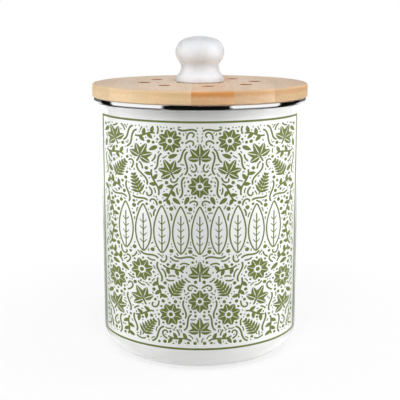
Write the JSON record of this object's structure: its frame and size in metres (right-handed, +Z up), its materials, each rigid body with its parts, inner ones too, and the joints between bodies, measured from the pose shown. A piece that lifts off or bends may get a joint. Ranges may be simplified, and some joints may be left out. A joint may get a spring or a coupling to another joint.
{
  "type": "compost caddy",
  "caption": "Round enamelled canister with a bright metal rim and a vented wooden lid with a ceramic knob, a seal and a twist-off filter holder, for kitchen scraps.",
  "frame": {"origin": "centre of the base, on the surface that the caddy stands on", "axes": "+Z up along the canister's axis, -Y towards the decorated front, +X to the right seen from the front"},
  "size_m": [0.165, 0.165, 0.2424],
  "materials": {
    "enamel": "gloss",
    "rim_steel": "polished",
    "lid_wood": "oiled satin",
    "plug_wood": "oiled satin",
    "seal_silicone": "matte",
    "knob_glaze": "gloss",
    "insert_brass": "turned",
    "screw_steel": "zinc plated",
    "holder_plastic": "fine matte",
    "filter_felt": "felt"
  },
  "bodies": {
    "canister": {"canister": "enamel", "rim_ring": "rim_steel"},
    "seal": {"lid_seal": "seal_silicone"},
    "lid": {"lid_stave_1": "lid_wood", "lid_stave_2": "lid_wood", "lid_stave_3": "lid_wood", "lid_stave_4": "lid_wood", "lid_stave_5": "lid_wood", "lid_stave_6": "lid_wood", "lid_plug": "plug_wood", "knob": "knob_glaze", "knob_insert": "insert_brass", "knob_screw": "screw_steel", "knob_washer": "screw_steel", "holder_screws": "screw_steel"},
    "filter": {"filter_holder": "holder_plastic", "filter_pad": "filter_felt"}
  },
  "joints": [
    {"name": "lid_lift", "type": "slide", "parent": "canister", "child": "seal", "axis": [0, 0, 1], "range_m": [0, 0.15]},
    {"name": "lid_turn", "type": "hinge", "parent": "seal", "child": "lid", "pos_m": [0, 0, 0.1974], "axis": [0, 0, 1], "continuous": true},
    {"name": "filter_twist", "type": "hinge", "parent": "lid", "child": "filter", "pos_m": [0, 0, 0.1834], "axis": [0, 0, -1], "range_deg": [0, 16]}
  ]
}
